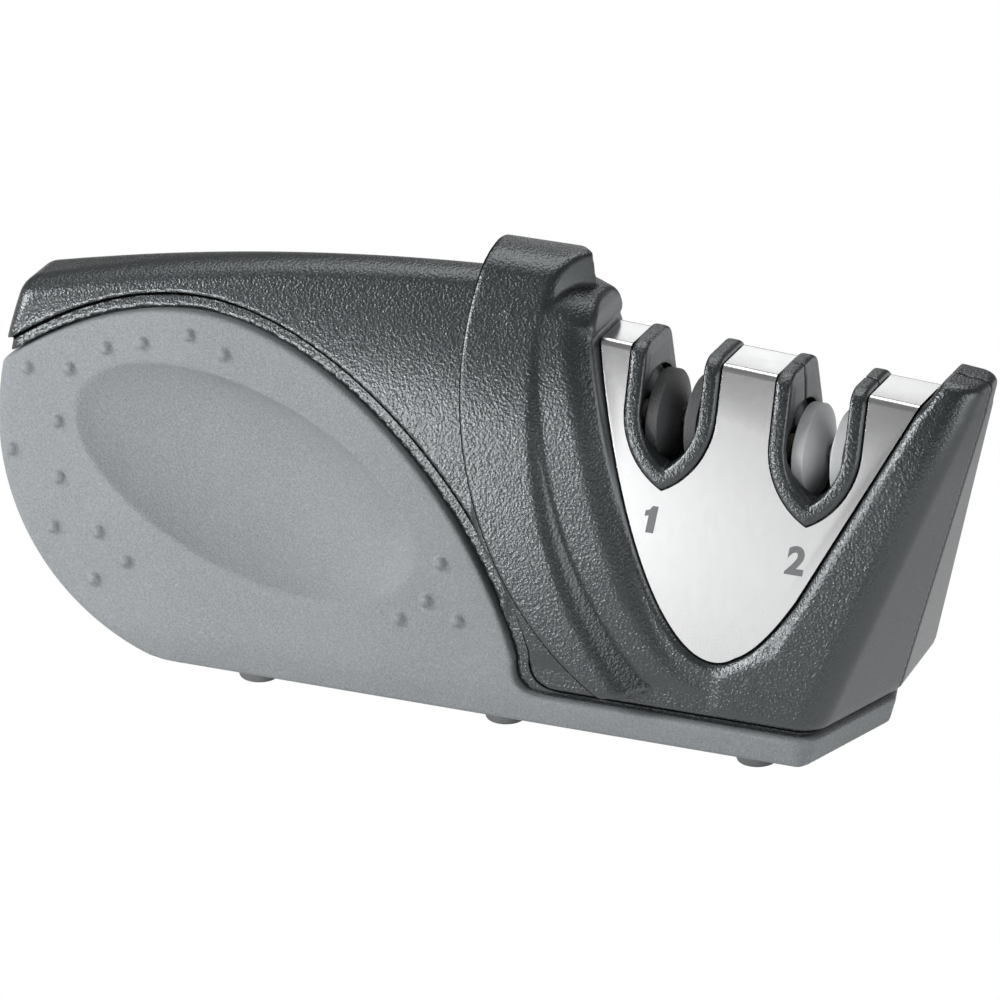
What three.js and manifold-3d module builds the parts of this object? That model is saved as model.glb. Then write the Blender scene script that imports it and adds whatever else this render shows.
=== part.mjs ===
// Hand-held two-stage knife sharpener. Millimetres, +Z up, handle towards -X, photographed side towards -Y.
import * as THREE from "three";
import { mergeVertices } from "three/addons/utils/BufferGeometryUtils.js";
import Module from "manifold-3d";

const wasm = await Module();
wasm.setup();

// Fits
const GAP = 0.3; // between pieces that touch
const RUN = 0.3; // between turning pieces and their seats

// Flanks: both faces of the body lean in by LEAN for each millimetre of height above FLANK_Z.
const HALF_BASE = 27;
const FLANK_Z = 8.5;
const LEAN = 0.305;
const BASE_Z = 3;
const WALL = 2.4;

// Handle outline, seen from the front
const NOSE_X = -92.2;
const NOSE_Z = 50;
const NOSE_RADIUS = 85;
const CORNER_RADIUS = 4.5;
const HEEL_RUN = 55.7;
const HEEL_DROP = 2;
const CREST_X = 38;
const CREST_Z = 87.7;
const CREST_RADIUS = 480;
const HANDLE_END_X = 22;
const HANDLE_ROUND = 3;

// Groove between the grey grip and the black housing; its lower lip is set in by the bands
const GROOVE_LEFT_X = -98;
const GROOVE_LEFT_Z = 53.6;
const GROOVE_CREST_X = -51;
const GROOVE_CREST_Z = 73.2;
const GROOVE_FOOT_X = 26.4;
const GROOVE_TOE = 7;
const GROOVE_TOE_RISE = 6;
const GROOVE_FOOT_PULL = 0.17;
const GROOVE_FOOT_LIFT = 0.62;
const GROOVE_CREST_PULL = 0.36;
const GROOVE_BAND = 3.4;
const STRIP_TOP = 10.4;
const STRIP_BAND = 1.8;
const LEDGE_INSET = 1.1;

// Thumb recess, kept clear of the nose and of the groove, and grip dots
const DISH_FROM_NOSE = 16.3;
const DISH_FROM_GROOVE = 25.1;
const DISH_START_X = NOSE_X + DISH_FROM_NOSE;
const DISH_END_X = GROOVE_FOOT_X - DISH_FROM_GROOVE;
const DISH_X = (DISH_START_X + DISH_END_X) / 2;
const DISH_LONG = (DISH_END_X - DISH_START_X) / 2;
const DISH_Z = 39.8;
const DISH_SHORT = 16.9;
const DISH_TILT = -0.303;
const DISH_DEPTH = 6.5;
const DISH_WALL = 1.8;
const DOT_RADIUS = 1.25;
const DOT_HEIGHT = 0.7;
const NEAR_DOTS_DEG = [107, 137, 147, 158, 172, 187, 205, 219, 330, 338, 348];
const MID_DOTS_DEG = [120];
const FAR_DOTS_DEG = [163, 181, 200, 218, 338];
const DOT_REACH = 4.6;
const DOT_LOW_REACH = 10;
const DOT_RIGHT_REACH = 6.2;
const DOT_MID_ROW = 2.6;
const DOT_ROW = 7.5;

// Collar and the hood between collar and plate; both end in a slanted face towards the head
const COLLAR_LEFT_X = 6.4;
const COLLAR_WIDTH = 20.2;
const COLLAR_FOOT_X = 42.6;
const COLLAR_FOOT_WIDTH = 10.3;
const COLLAR_FOOT_Z = 11.5;
const COLLAR_FOOT_RISE = 2;
const COLLAR_MID_Z = 71;
const COLLAR_TOP_Z = 92.4;
const COLLAR_PROUD = 3.6;
const COLLAR_ROUND = 3;
const COLLAR_SLANT = 4;
const HOOD_TOP_Z = 86.4;
const HOOD_TOP_BACK = 2;
const HOOD_TOE = 6;
const HOOD_LEAN = 0.25;
const HOOD_ROUND = 2;

// Saddle under the steel plate
const SADDLE_TOP_X = 35;
const SADDLE_TOP_Z = 77.2;
const SADDLE_FALL = 0.055;
const SADDLE_ROUND = 2.2;
const HEAD_START_X = 18;
const PLATE_LEFT_X = 33;
const PLATE_SHOULDER_X = 37;
const PLATE_SHOULDER_Z = 57;
const PLATE_HIP_X = 47;
const PLATE_HIP_Z = 28;
const PLATE_BOTTOM_X = 64.5;
const PLATE_BOTTOM_Z = 18.8;
const PLATE_CHIN_LEFT = 5;
const PLATE_CHIN_LEFT_RISE = 2.5;
const PLATE_CHIN_RIGHT = 4;
const PLATE_CHIN_RIGHT_RISE = 2.8;
const PLATE_CHEEK = 9;
const PLATE_CHEEK_RISE = 5;
const PLATE_FOOT_X = 79.6;
const PLATE_FOOT_Z = 34;
const PLATE_RIGHT_X = 99.9;
const PLATE_THICK = 0.8;
const PLATE_SEAT = 1.7;
const PLATE_SKIN = 0.5;
const HEAD_WALL = 3.2;

// Wing and end face
const WING_TOP_X = 103.8;
const WING_TOP_Z = 78.7;
const WING_TOE_X = 75.5;
const WING_TOE_Z = 24.8;
const WING_FALL = 0.12;
const WING_PROUD = 0.5;
const WING_ROUND = 2.4;
const RIDGE_X = 91.9;
const RIDGE_LEAN = 0.273;
const END_V = 0.34;
const END_V_NEAR = 0.1;
const END_BREAK = 10;
const END_FILLET = 4;
const END_STEPS = 3;

// Knife slots
const SLOT_X = 49.4;
const SLOT_PITCH = 30.2;
const SLOT_SPRING_Z = 65.4;
const SLOT_DROP = 2.5;
const SLOT_HALF = 5.85;
const SLOT_ARC = 12.7;
const RIM_WIDTH = 3.4;
const RIM_PROUD = 0.9;

// Sharpening wheels
const AXLE_BELOW_SPRING = 5;
const AXLE_RADIUS = 1.5;
const WHEEL_FROM_FLANK = 1.77;
const HUB_RADIUS = 3;
const HUB_FLARE = 1.5;
const APEX_HALF = 0.4;
const SHARPENING_SLOPE = 0.38;
const WHEEL_RIM = 2.4;
const HUB_END = 7.6;
const CHAMBER_GAP = 0.6;
const CHAMBER_HALF = 8.3;
const BOSS_IN = 10.2;
const BOSS_THICK = 2.6;
const BOSS_HALF = 5.2;
const BUSH_RADIUS = 3;
const SPACER_RADIUS = 2.6;

// Posts, screws and feet
const POST_RADIUS = 3;
const POST_BITE = 0.6;
const HANDLE_POST_X = -44;
const HANDLE_POST_Y = 3.6;
const HEAD_POST_X = 65;
const HEAD_POST_INSET = 12.5;
const SCREW_RADIUS = 1.1;
const SCREW_LENGTH = 11;
const SCREW_HEAD_RADIUS = 2.6;
const SCREW_HEAD = 1.3;
const SCREW_SLOT = 0.7;
const SCREW_SLOT_DEEP = 0.5;
const PILOT_EXTRA = 2;
const FOOT_RADIUS = 4.4;
const FOOT_PEG = 2;
const FOOT_FIRST_X = -33;
const FOOT_PITCH = 52.6;
const FOOT_INSET = 7;
const FOOT_TAPER = 0.5;

const FAR = 150;
const SWEEP_IN = 60; // how far a sweep reaches in from its flank, past the middle
const CURVE_STEPS = 5;
const FINE_STEPS = 2;
const ROUND_SIDES = 16;
const WHEEL_SIDES = 24;
const DISH_SIDES = 20;
const DISH_RINGS = 12;

// Geometry helpers

function solidOf(geometry) {
  const flat = geometry.index ? geometry.toNonIndexed() : geometry;
  const bare = new THREE.BufferGeometry();
  bare.setAttribute("position", flat.getAttribute("position"));
  const merged = mergeVertices(bare, 1e-4);
  return new wasm.Manifold(
    new wasm.Mesh({
      numProp: 3,
      vertProperties: new Float32Array(merged.attributes.position.array),
      triVerts: new Uint32Array(merged.index.array),
    }),
  );
}

function geometryOf(solid) {
  const mesh = solid.getMesh();
  const geometry = new THREE.BufferGeometry();
  geometry.setAttribute("position", new THREE.BufferAttribute(mesh.vertProperties, 3));
  geometry.setIndex(new THREE.BufferAttribute(mesh.triVerts, 1));
  geometry.computeVertexNormals();
  return geometry;
}

function union(...solids) {
  return solids.reduce((all, next) => all.add(next));
}

function mirrored(solid) {
  return solid.mirror([0, 1, 0]);
}

function halfWidth(z) {
  return HALF_BASE - (z - FLANK_Z) * LEAN;
}

// The corner points of a side-view shape, each one once.
function corners(shape) {
  const points = shape.getPoints(CURVE_STEPS);
  return points.filter((p, i) => p.distanceTo(points[(i + 1) % points.length]) > 0.02);
}

// A side-view shape moved outwards by d (inwards when d is negative).
function grown(shape, d) {
  const points = corners(shape);
  const turn = THREE.ShapeUtils.isClockWise(points) ? -1 : 1;
  const moved = points.map((p, i) => {
    const before = points[(i + points.length - 1) % points.length];
    const after = points[(i + 1) % points.length];
    const a = p.clone().sub(before).normalize();
    const b = after.clone().sub(p).normalize();
    const normal = new THREE.Vector2(a.y + b.y, -a.x - b.x).normalize().multiplyScalar(turn);
    const mitre = Math.max(0.4, normal.dot(new THREE.Vector2(a.y, -a.x).multiplyScalar(turn)));
    return p.clone().addScaledVector(normal, d / mitre);
  });
  return new THREE.Shape(moved);
}

// Carries a form drawn in the side view and outwards from it onto the front flank that leans by lean.
function ontoFlank(geometry, lean) {
  const foot = lean ? HALF_BASE + FLANK_Z * lean : 0;
  geometry.applyMatrix4(new THREE.Matrix4().set(1, 0, 0, 0, 0, lean, -1, -foot, 0, 1, 0, 0, 0, 0, 0, 1));
  return solidOf(geometry);
}

// A side-view shape swept along Y between two levels measured outwards from a plane that leans by lean,
// with its outer edge rounded, or slanted where steps is 1.
function swept(shape, from, to, round = 0, lean = LEAN, slant = round, steps = FINE_STEPS) {
  const geometry = new THREE.ExtrudeGeometry(new THREE.Shape(corners(shape)), {
    depth: to - from - 2 * round,
    bevelEnabled: round > 0,
    bevelThickness: round,
    bevelSize: slant,
    bevelOffset: -slant,
    bevelSegments: steps,
  });
  geometry.translate(0, 0, from + round);
  return ontoFlank(geometry, lean);
}

// A side-view shape cut straight through along Y.
function through(shape) {
  return swept(shape, -FAR, FAR, 0, 0);
}

function box(x0, x1, y0, y1, z0, z1) {
  const geometry = new THREE.BoxGeometry(x1 - x0, y1 - y0, z1 - z0);
  geometry.translate((x0 + x1) / 2, (y0 + y1) / 2, (z0 + z1) / 2);
  return solidOf(geometry);
}

function rodX(radius, x0, x1, z, sides = ROUND_SIDES) {
  const geometry = new THREE.CylinderGeometry(radius, radius, x1 - x0, sides);
  geometry.rotateZ(-Math.PI / 2);
  geometry.translate((x0 + x1) / 2, 0, z);
  return solidOf(geometry);
}

function rodZ(bottom, top, x, y, z0, z1, sides = ROUND_SIDES) {
  const geometry = new THREE.CylinderGeometry(top, bottom, z1 - z0, sides);
  geometry.rotateX(Math.PI / 2);
  geometry.translate(x, y, (z0 + z1) / 2);
  return solidOf(geometry);
}

// Keeps the side of the plane where normal . p <= distance.
function below(solid, normal, distance) {
  const n = normal.clone().normalize();
  return solid.trimByPlane([-n.x, -n.y, -n.z], -distance / normal.length());
}

function frontHalf(solid, y = -GAP / 2) {
  return below(solid, new THREE.Vector3(0, 1, 0), y);
}

// Side-view shapes

// Centre of a fillet that touches two circles from inside, on the left of the line from a to b.
function innerFillet(a, radiusA, b, radiusB, fillet) {
  const toA = radiusA - fillet;
  const toB = radiusB - fillet;
  const apart = a.distanceTo(b);
  const along = (toA * toA - toB * toB + apart * apart) / (2 * apart);
  const aside = Math.sqrt(toA * toA - along * along);
  const ahead = b.clone().sub(a).normalize();
  return a.clone().addScaledVector(ahead, along).addScaledVector(new THREE.Vector2(ahead.y, -ahead.x), aside);
}

// Straight foot, elliptical heel, round nose, corner fillet and the long top arc.
function handleShape() {
  const low = BASE_Z - HEEL_DROP;
  const heelX = NOSE_X + HEEL_RUN;
  const nose = new THREE.Vector2(NOSE_X + NOSE_RADIUS, NOSE_Z);
  const crest = new THREE.Vector2(CREST_X, CREST_Z - CREST_RADIUS);
  const corner = innerFillet(nose, NOSE_RADIUS, crest, CREST_RADIUS, CORNER_RADIUS);
  const noseEnd = corner.clone().sub(nose).angle();
  const crestStart = corner.clone().sub(crest).angle();
  const crestEnd = Math.PI / 2 - Math.asin((HANDLE_END_X - CREST_X) / CREST_RADIUS);
  const shape = new THREE.Shape();
  shape.moveTo(HANDLE_END_X, low);
  shape.lineTo(heelX, low);
  shape.absellipse(heelX, NOSE_Z, HEEL_RUN, NOSE_Z - low, 1.5 * Math.PI, Math.PI, true);
  shape.absarc(nose.x, nose.y, NOSE_RADIUS, Math.PI, noseEnd, true);
  shape.absarc(corner.x, corner.y, CORNER_RADIUS, noseEnd, crestStart, true);
  shape.absarc(crest.x, crest.y, CREST_RADIUS, crestStart, crestEnd, true);
  shape.closePath();
  return shape;
}

// All that lies under the groove, the grip side and the base strip; band and stripBand lower its edge.
function greyShape(band, stripBand) {
  const footX = GROOVE_FOOT_X - band;
  const crestZ = GROOVE_CREST_Z - band;
  const leftZ = GROOVE_LEFT_Z - band;
  const strip = STRIP_TOP - stripBand;
  const run = footX - GROOVE_CREST_X;
  const shape = new THREE.Shape();
  shape.moveTo(GROOVE_LEFT_X - FAR, -FAR);
  shape.lineTo(FAR, -FAR);
  shape.lineTo(FAR, strip);
  shape.lineTo(footX + GROOVE_TOE, strip);
  shape.quadraticCurveTo(footX, strip, footX, strip + GROOVE_TOE_RISE);
  shape.bezierCurveTo(
    footX - GROOVE_FOOT_PULL * run,
    GROOVE_FOOT_LIFT * crestZ,
    GROOVE_CREST_X + GROOVE_CREST_PULL * run,
    crestZ,
    GROOVE_CREST_X,
    crestZ,
  );
  shape.quadraticCurveTo((GROOVE_CREST_X + GROOVE_LEFT_X) / 2, crestZ, GROOVE_LEFT_X, leftZ);
  shape.lineTo(GROOVE_LEFT_X - FAR, leftZ - FAR);
  shape.closePath();
  return shape;
}

// Adds one curved edge of the collar: furthest left at COLLAR_MID_Z, at footX when it reaches footZ.
function collarEdge(shape, x, footX, footZ, upwards) {
  const reach = footX - x;
  const fall = COLLAR_MID_Z - footZ;
  const radius = (reach * reach + fall * fall) / (2 * reach);
  const foot = Math.PI + Math.asin(fall / radius);
  const top = Math.PI - Math.asin((COLLAR_TOP_Z - COLLAR_MID_Z) / radius);
  shape.absarc(x + radius, COLLAR_MID_Z, radius, upwards ? foot : top, upwards ? top : foot, upwards);
}

function collarShape(inset) {
  const shape = new THREE.Shape();
  const rightX = COLLAR_LEFT_X + COLLAR_WIDTH - inset;
  const rightFootX = COLLAR_FOOT_X + COLLAR_FOOT_WIDTH - inset;
  collarEdge(shape, COLLAR_LEFT_X, COLLAR_FOOT_X, COLLAR_FOOT_Z, true);
  collarEdge(shape, rightX, rightFootX, COLLAR_FOOT_Z + COLLAR_FOOT_RISE, false);
  shape.closePath();
  return shape;
}

function saddleTop(x) {
  return SADDLE_TOP_Z - SADDLE_FALL * (x - SADDLE_TOP_X);
}

function saddleShape() {
  const shape = new THREE.Shape();
  shape.moveTo(HEAD_START_X, 0);
  shape.lineTo(FAR, 0);
  shape.lineTo(FAR, saddleTop(FAR));
  shape.lineTo(HEAD_START_X, saddleTop(HEAD_START_X));
  shape.closePath();
  return shape;
}

// The left edge that the plate and the hood share, from the fold down to the chin.
function plateLeftEdge(shape, clear) {
  shape.lineTo(PLATE_LEFT_X - clear, SADDLE_TOP_Z);
  shape.bezierCurveTo(
    PLATE_SHOULDER_X - clear,
    PLATE_SHOULDER_Z,
    PLATE_HIP_X - clear,
    PLATE_HIP_Z,
    PLATE_BOTTOM_X - PLATE_CHIN_LEFT - clear,
    PLATE_BOTTOM_Z + PLATE_CHIN_LEFT_RISE - clear,
  );
}

// The steel plate's outline, carried on above the fold.
function plateShape() {
  const high = COLLAR_TOP_Z;
  const chinX = PLATE_BOTTOM_X + PLATE_CHIN_RIGHT;
  const chinZ = PLATE_BOTTOM_Z + PLATE_CHIN_RIGHT_RISE;
  const topZ = saddleTop(PLATE_RIGHT_X);
  const slope = (PLATE_RIGHT_X - PLATE_FOOT_X) / (topZ - PLATE_FOOT_Z);
  const shape = new THREE.Shape();
  shape.moveTo(PLATE_LEFT_X, high);
  plateLeftEdge(shape, 0);
  shape.quadraticCurveTo(PLATE_BOTTOM_X, PLATE_BOTTOM_Z, chinX, chinZ);
  shape.quadraticCurveTo(
    PLATE_BOTTOM_X + PLATE_CHEEK,
    PLATE_BOTTOM_Z + PLATE_CHEEK_RISE,
    PLATE_FOOT_X,
    PLATE_FOOT_Z,
  );
  shape.lineTo(PLATE_RIGHT_X + slope * (high - topZ), high);
  shape.closePath();
  return shape;
}

// The stepped hood between collar and plate; its right edge follows the plate.
function hoodShape() {
  const shape = new THREE.Shape();
  shape.moveTo(HEAD_START_X, COLLAR_FOOT_Z);
  shape.lineTo(HEAD_START_X, HOOD_TOP_Z);
  shape.lineTo(PLATE_LEFT_X - HOOD_TOP_BACK, HOOD_TOP_Z);
  plateLeftEdge(shape, GAP);
  shape.lineTo(PLATE_BOTTOM_X - PLATE_CHIN_LEFT, PLATE_BOTTOM_Z - HOOD_TOE);
  shape.closePath();
  return shape;
}

function wingShape() {
  const shape = new THREE.Shape();
  shape.moveTo(PLATE_BOTTOM_X, STRIP_TOP + GAP);
  shape.lineTo(PLATE_BOTTOM_X, PLATE_BOTTOM_Z);
  shape.lineTo(WING_TOE_X, WING_TOE_Z);
  shape.lineTo(PLATE_RIGHT_X, saddleTop(PLATE_RIGHT_X) - PLATE_THICK);
  shape.lineTo(WING_TOP_X, WING_TOP_Z);
  shape.lineTo(FAR, WING_TOP_Z - WING_FALL * (FAR - WING_TOP_X));
  shape.lineTo(FAR, STRIP_TOP + GAP);
  shape.closePath();
  return shape;
}

// A slot: straight walls springing into a pointed arch below.
function slotShape(stage, grow) {
  const x = stage.x;
  const half = SLOT_HALF + grow;
  const radius = SLOT_ARC + grow;
  const sweep = Math.acos((SLOT_ARC - SLOT_HALF) / radius);
  const shape = new THREE.Shape();
  shape.moveTo(x - half, stage.spring + FAR);
  shape.lineTo(x - half, stage.spring);
  shape.absarc(x - half + radius, stage.spring, radius, Math.PI, Math.PI + sweep, false);
  shape.absarc(x + half - radius, stage.spring, radius, -sweep, 0, false);
  shape.lineTo(x + half, stage.spring + FAR);
  shape.closePath();
  return shape;
}

// Solids of the body

const wheelRadius = halfWidth(SLOT_SPRING_Z - AXLE_BELOW_SPRING) - WHEEL_FROM_FLANK;
const flankNormal = new THREE.Vector3(0, -1, LEAN);
const endNormal = new THREE.Vector3(1, -END_V, -RIDGE_LEAN);
const ridgeNormal = new THREE.Vector3(1, -END_V_NEAR, -RIDGE_LEAN);

// Trims the front half with its two end planes and rounds the corner between flank and end.
function ended(solid, inset) {
  const flank = flankNormal.clone().normalize();
  const end = endNormal.clone().normalize();
  const flankAt = (HALF_BASE + FLANK_Z * LEAN - inset) / flankNormal.length();
  const ridgeAt = RIDGE_X - RIDGE_LEAN * BASE_Z;
  const endAt = (ridgeAt + (END_V - END_V_NEAR) * END_BREAK) / endNormal.length() - inset;
  const radius = Math.max(END_FILLET - inset, 1);
  const cosine = flank.dot(end);
  let out = below(below(solid, end, endAt), ridgeNormal, ridgeAt - inset);
  for (let k = 1; k <= END_STEPS; k++) {
    const t = k / (END_STEPS + 1);
    const normal = flank.clone().multiplyScalar(1 - t).addScaledVector(end, t).normalize();
    const alongFlank = (normal.dot(flank) - cosine * normal.dot(end)) / (1 - cosine * cosine);
    const alongEnd = (normal.dot(end) - cosine * normal.dot(flank)) / (1 - cosine * cosine);
    out = below(out, normal, alongFlank * (flankAt - radius) + alongEnd * (endAt - radius) + radius);
  }
  return out;
}

function handleHalf(inset) {
  return swept(grown(handleShape(), -inset), -SWEEP_IN, -inset, HANDLE_ROUND - inset);
}

function saddleHalf(inset) {
  return swept(grown(saddleShape(), -inset), -SWEEP_IN, -inset, SADDLE_ROUND);
}

// The body without collar, hood and wing, cut flat at the base and kept inside the base strip's width.
function bodyHalf(inset, headInset = inset) {
  const both = handleHalf(inset).add(ended(saddleHalf(headInset), inset));
  const room = box(-FAR, FAR, -HALF_BASE + inset, FAR, BASE_Z + inset, FAR);
  return both.intersect(room);
}

const stages = [0, 1].map((i) => ({
  name: ["coarse", "fine"][i],
  x: SLOT_X + i * SLOT_PITCH,
  spring: SLOT_SPRING_Z - i * SLOT_DROP,
  axle: SLOT_SPRING_Z - i * SLOT_DROP - AXLE_BELOW_SPRING,
}));

const outer = bodyHalf(0);
const cavity = bodyHalf(WALL, HEAD_WALL);
const greySide = through(greyShape(GROOVE_BAND, STRIP_BAND));
const blackCut = through(greyShape(0, 0));
const ledgeCut = through(greyShape(GROOVE_BAND - GAP, STRIP_BAND - GAP));
const ledgeReach = through(greyShape(-WALL, -WALL));
const plate = plateShape();

// Thumb recess: a cap of an ellipsoid laid into the flank.
function dish(extra) {
  const capAngle = Math.PI / 3;
  const geometry = new THREE.SphereGeometry(1, DISH_SIDES, DISH_RINGS);
  const long = DISH_LONG / Math.sin(capAngle) + extra;
  const short = DISH_SHORT / Math.sin(capAngle) + extra;
  const unit = DISH_DEPTH / (1 - Math.cos(capAngle));
  geometry.rotateX(Math.PI / 2);
  geometry.scale(long, short, unit + extra);
  geometry.rotateZ(DISH_TILT);
  geometry.translate(DISH_X, DISH_Z, unit * Math.cos(capAngle));
  return ontoFlank(geometry, LEAN);
}

// Where a dot stands: beyond the edge of the recess by a reach that depends on the side it is on.
function dotPlace(degrees, extra) {
  const turn = THREE.MathUtils.degToRad(degrees);
  const along = Math.cos(turn - DISH_TILT) / DISH_LONG;
  const across = Math.sin(turn - DISH_TILT) / DISH_SHORT;
  const edge = 1 / Math.hypot(along, across);
  const reach = degrees < 180 ? DOT_REACH : degrees < 270 ? DOT_LOW_REACH : DOT_RIGHT_REACH;
  const far = edge + reach + extra;
  return [DISH_X + far * Math.cos(turn), DISH_Z + far * Math.sin(turn)];
}

function dot([x, z]) {
  const geometry = new THREE.CylinderGeometry(DOT_RADIUS / 2, DOT_RADIUS, DOT_HEIGHT * 2, 6);
  geometry.rotateX(Math.PI / 2);
  geometry.translate(x, -halfWidth(z), z);
  return solidOf(geometry);
}

function gripTub() {
  const wall = outer.subtract(cavity).intersect(greySide);
  const backing = outer.intersect(greySide).intersect(dish(DISH_WALL));
  let half = wall.add(backing).subtract(dish(0));
  const dots = [
    ...NEAR_DOTS_DEG.map((d) => dotPlace(d, 0)),
    ...MID_DOTS_DEG.map((d) => dotPlace(d, DOT_MID_ROW)),
    ...FAR_DOTS_DEG.map((d) => dotPlace(d, DOT_ROW)),
  ];
  half = union(half, ...dots.map(dot));
  half = frontHalf(half, 0.01);
  let tub = half.add(mirrored(half));
  for (const [x, y] of footPlaces()) {
    tub = tub.subtract(rodZ(FOOT_PEG + GAP, FOOT_PEG + GAP, x, y, 0, BASE_Z + 2 * WALL, 12));
  }
  for (const [x, y] of screwPlaces()) {
    const postRoom = POST_RADIUS + GAP;
    const shankRoom = SCREW_RADIUS + GAP;
    const headRoom = SCREW_HEAD_RADIUS + GAP;
    tub = tub.subtract(rodZ(postRoom, postRoom, x, y, BASE_Z + WALL, FAR));
    tub = tub.subtract(rodZ(shankRoom, shankRoom, x, y, 0, BASE_Z + 2 * WALL, 12));
    tub = tub.subtract(rodZ(headRoom, headRoom, x, y, 0, BASE_Z + SCREW_HEAD + GAP));
  }
  return tub;
}

function slotRing(stage) {
  const ring = through(slotShape(stage, RIM_WIDTH)).subtract(through(slotShape(stage, 0)));
  return ring.intersect(saddleHalf(-RIM_PROUD));
}

// Two upright plates that hold the bushes of one stage.
function bosses(stage) {
  const inside = saddleHalf(HEAD_WALL - POST_BITE);
  const pair = [-1, 1].map((side) => {
    const near = stage.x + side * BOSS_IN;
    const far = near + side * BOSS_THICK;
    const low = stage.axle - BOSS_HALF;
    return box(Math.min(near, far), Math.max(near, far), -HALF_BASE, HALF_BASE, low, stage.axle + BOSS_HALF);
  });
  const reach = BOSS_IN + 2 * BOSS_THICK;
  const seat = rodX(BUSH_RADIUS + GAP, stage.x - reach, stage.x + reach, stage.axle);
  return union(...pair).intersect(inside).subtract(seat);
}

function post(x, y) {
  const foot = BASE_Z + WALL + GAP;
  const whole = rodZ(POST_RADIUS, POST_RADIUS, x, -y, foot, FAR, 16);
  return whole.intersect(bodyHalf(WALL - POST_BITE, HEAD_WALL - POST_BITE));
}

function frontHousing() {
  let shell = outer.subtract(cavity).subtract(blackCut);
  const ledge = bodyHalf(LEDGE_INSET).subtract(cavity).subtract(ledgeCut).intersect(ledgeReach);
  const collar = union(
    swept(collarShape(COLLAR_SLANT), -SWEEP_IN, COLLAR_PROUD, COLLAR_ROUND),
    swept(collarShape(0), -SWEEP_IN, COLLAR_PROUD, COLLAR_PROUD, LEAN, COLLAR_SLANT, 1),
  );
  const hood = swept(hoodShape(), -SWEEP_IN, 0, HOOD_ROUND, HOOD_LEAN);
  const wing = ended(swept(wingShape(), -SWEEP_IN, WING_PROUD, WING_ROUND), 0);
  const raised = union(collar, hood, wing).subtract(cavity).subtract(blackCut);
  shell = union(shell, ledge, raised);
  const around = swept(plate, -SWEEP_IN, SWEEP_IN).subtract(saddleHalf(PLATE_SEAT));
  shell = shell.subtract(around);
  for (const stage of stages) {
    const room = wheelRadius + CHAMBER_GAP;
    const chamber = rodX(room, stage.x - CHAMBER_HALF, stage.x + CHAMBER_HALF, stage.axle, WHEEL_SIDES);
    const bore = rodX(SPACER_RADIUS + GAP, stage.x - BOSS_IN, stage.x + BOSS_IN, stage.axle);
    shell = shell.add(slotRing(stage)).add(bosses(stage));
    shell = shell.subtract(through(slotShape(stage, 0))).subtract(chamber).subtract(bore);
  }
  for (const [x, y] of postPlaces()) {
    const pilotTop = BASE_Z + SCREW_LENGTH + PILOT_EXTRA;
    const pilot = rodZ(SCREW_RADIUS + GAP, SCREW_RADIUS + GAP, x, -y, 0, pilotTop, 12);
    shell = shell.add(post(x, y)).subtract(pilot);
  }
  return frontHalf(shell);
}

function facePlate() {
  const layer = frontHalf(saddleHalf(PLATE_SKIN).subtract(saddleHalf(PLATE_SKIN + PLATE_THICK)), 0.01);
  let half = layer.intersect(through(grown(plate, -GAP)));
  for (const stage of stages) {
    half = half.subtract(through(slotShape(stage, RIM_WIDTH + GAP)));
  }
  return half.add(mirrored(half));
}

// One wheel, pointing its cone towards the slot; side is -1 or 1.
function wheel(stage, side) {
  const bore = AXLE_RADIUS + RUN;
  const rimFace = APEX_HALF + (wheelRadius - HUB_RADIUS) * SHARPENING_SLOPE;
  const profile = [
    [bore, APEX_HALF],
    [HUB_RADIUS, APEX_HALF],
    [wheelRadius, rimFace],
    [wheelRadius, rimFace + WHEEL_RIM],
    [HUB_RADIUS + HUB_FLARE, rimFace + WHEEL_RIM],
    [HUB_RADIUS, HUB_END],
    [bore, HUB_END],
    [bore, APEX_HALF],
  ].map(([r, x]) => new THREE.Vector2(r, x));
  const geometry = new THREE.LatheGeometry(profile, WHEEL_SIDES);
  geometry.rotateZ(-Math.PI / 2);
  let solid = solidOf(geometry);
  if (solid.volume() < 0) throw new Error("the wheel profile runs the wrong way");
  if (side < 0) solid = solid.mirror([1, 0, 0]);
  return solid.translate([stage.x, 0, stage.axle]);
}

function sleeve(stage, side, radius, bore, from, to) {
  const x0 = stage.x + side * from;
  const x1 = stage.x + side * to;
  const low = Math.min(x0, x1);
  const high = Math.max(x0, x1);
  return rodX(radius, low, high, stage.axle).subtract(rodX(bore, low - 1, high + 1, stage.axle));
}

function postPlaces() {
  return [
    [HANDLE_POST_X, HANDLE_POST_Y],
    [HEAD_POST_X, HALF_BASE - HEAD_POST_INSET],
  ];
}

function screwPlaces() {
  return [-1, 1].flatMap((side) => postPlaces().map(([x, y]) => [x, side * y]));
}

function footPlaces() {
  const y = HALF_BASE - FOOT_INSET;
  return [-1, 1].flatMap((side) => [0, 1, 2].map((i) => [FOOT_FIRST_X + i * FOOT_PITCH, side * y]));
}

function foot(x, y) {
  const pad = rodZ(FOOT_RADIUS - FOOT_TAPER, FOOT_RADIUS, x, y, 0, BASE_Z - GAP);
  return pad.add(rodZ(FOOT_PEG, FOOT_PEG, x, y, BASE_Z - 1, BASE_Z + WALL - GAP, 12));
}

function screw(x, y) {
  const head = rodZ(SCREW_HEAD_RADIUS, SCREW_HEAD_RADIUS, x, y, BASE_Z + GAP, BASE_Z + SCREW_HEAD, 16);
  const shank = rodZ(SCREW_RADIUS, SCREW_RADIUS, x, y, BASE_Z + 1, BASE_Z + SCREW_LENGTH, 12);
  const reach = SCREW_HEAD_RADIUS;
  const half = SCREW_SLOT / 2;
  const slot = box(x - reach, x + reach, y - half, y + half, 0, BASE_Z + GAP + SCREW_SLOT_DEEP);
  return head.add(shank).subtract(slot);
}

// Materials

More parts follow.
